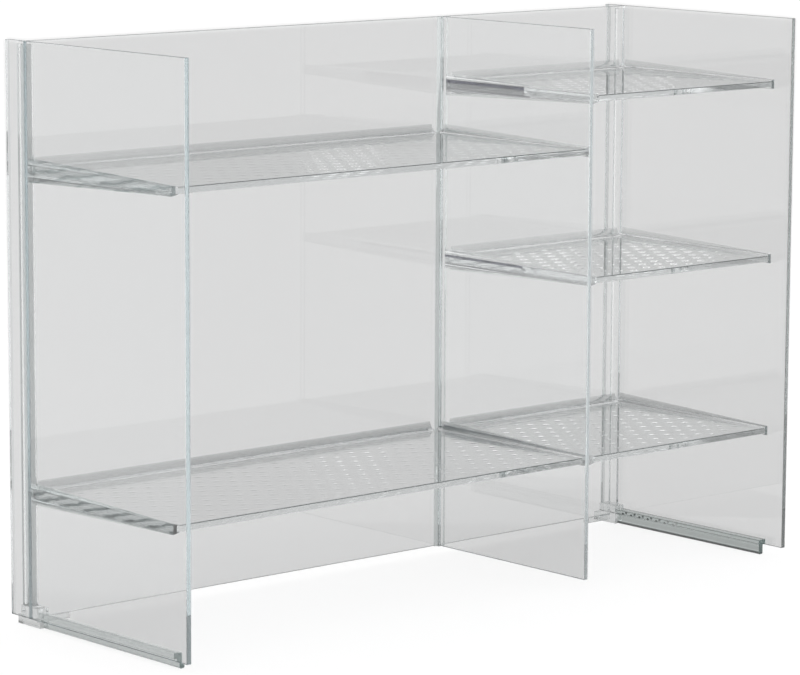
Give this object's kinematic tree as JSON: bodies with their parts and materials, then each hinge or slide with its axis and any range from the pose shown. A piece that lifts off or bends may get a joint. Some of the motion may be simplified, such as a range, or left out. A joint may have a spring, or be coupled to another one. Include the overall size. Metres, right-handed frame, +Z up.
{
  "type": "media storage rack",
  "caption": "Low open rack of clear acrylic sheets: back panel, side panels and a divider carry shelves at staggered heights for discs and players; rails under the sides let racks stack.",
  "frame": {"origin": "on the floor under the middle of the rack's width and depth", "axes": "+X along the rack from left to right seen from the front, +Y from front to rear, +Z up"},
  "size_m": [0.75, 0.257, 0.5305],
  "materials": {
    "acrylic_sheet": "polished clear",
    "acrylic_shelf": "clear with a fine dimpled face",
    "acrylic_moulding": "clear moulded",
    "acrylic_foot": "clear moulded, slightly hazy"
  },
  "bodies": {
    "root": {"left_side_panel": "acrylic_sheet", "right_side_panel": "acrylic_sheet", "back_panel": "acrylic_sheet", "centre_divider": "acrylic_sheet", "upper_left_shelf": "acrylic_shelf", "upper_left_shelf_left_cleat": "acrylic_moulding", "upper_left_shelf_right_cleat": "acrylic_moulding", "upper_left_shelf_rear_rail": "acrylic_moulding", "lower_left_shelf": "acrylic_shelf", "lower_left_shelf_left_cleat": "acrylic_moulding", "lower_left_shelf_right_cleat": "acrylic_moulding", "lower_left_shelf_rear_rail": "acrylic_moulding", "top_right_shelf": "acrylic_shelf", "top_right_shelf_left_cleat": "acrylic_moulding", "top_right_shelf_right_cleat": "acrylic_moulding", "top_right_shelf_rear_rail": "acrylic_moulding", "middle_right_shelf": "acrylic_shelf", "middle_right_shelf_left_cleat": "acrylic_moulding", "middle_right_shelf_right_cleat": "acrylic_moulding", "middle_right_shelf_rear_rail": "acrylic_moulding", "lower_right_shelf": "acrylic_shelf", "lower_right_shelf_left_cleat": "acrylic_moulding", "lower_right_shelf_right_cleat": "acrylic_moulding", "lower_right_shelf_rear_rail": "acrylic_moulding", "divider_left_strip": "acrylic_moulding", "divider_right_strip": "acrylic_moulding", "left_corner_strip": "acrylic_moulding", "right_corner_strip": "acrylic_moulding", "left_locating_rail": "acrylic_moulding", "right_locating_rail": "acrylic_moulding", "left_rear_foot": "acrylic_foot", "right_rear_foot": "acrylic_foot"}
  },
  "joints": []
}
